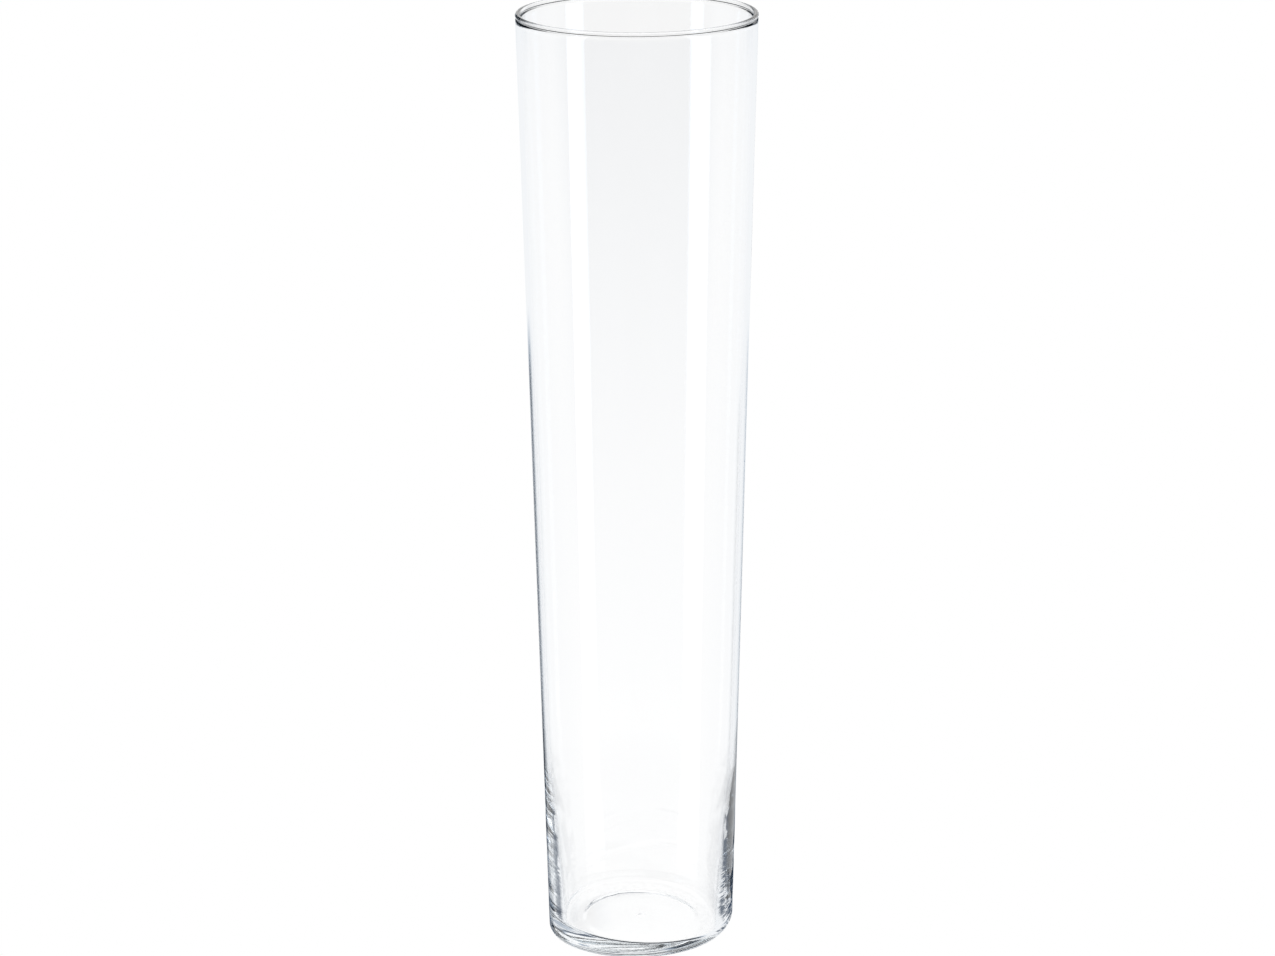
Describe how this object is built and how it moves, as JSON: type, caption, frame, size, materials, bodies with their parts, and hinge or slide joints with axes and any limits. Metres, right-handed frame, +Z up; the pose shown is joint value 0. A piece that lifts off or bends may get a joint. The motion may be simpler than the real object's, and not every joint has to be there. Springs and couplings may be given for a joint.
{
  "type": "glass vase",
  "caption": "Tall conical vase of clear glass: a thick solid base, a wall that tapers down towards it, and a wide open mouth with a fire-polished bead.",
  "frame": {"origin": "centre of the circle that the foot ring stands on, at the level of the table", "axes": "+Z up along the vase's own axis, from the foot to the mouth; the vase is round, so +X and +Y are any two directions across it"},
  "size_m": [0.174, 0.174, 0.7],
  "materials": {
    "clear_glass": "colourless soda-lime glass, smooth and polished, with faint ripples inside the base"
  },
  "bodies": {
    "root": {"base": "clear_glass", "wall": "clear_glass", "rim": "clear_glass"}
  },
  "joints": []
}
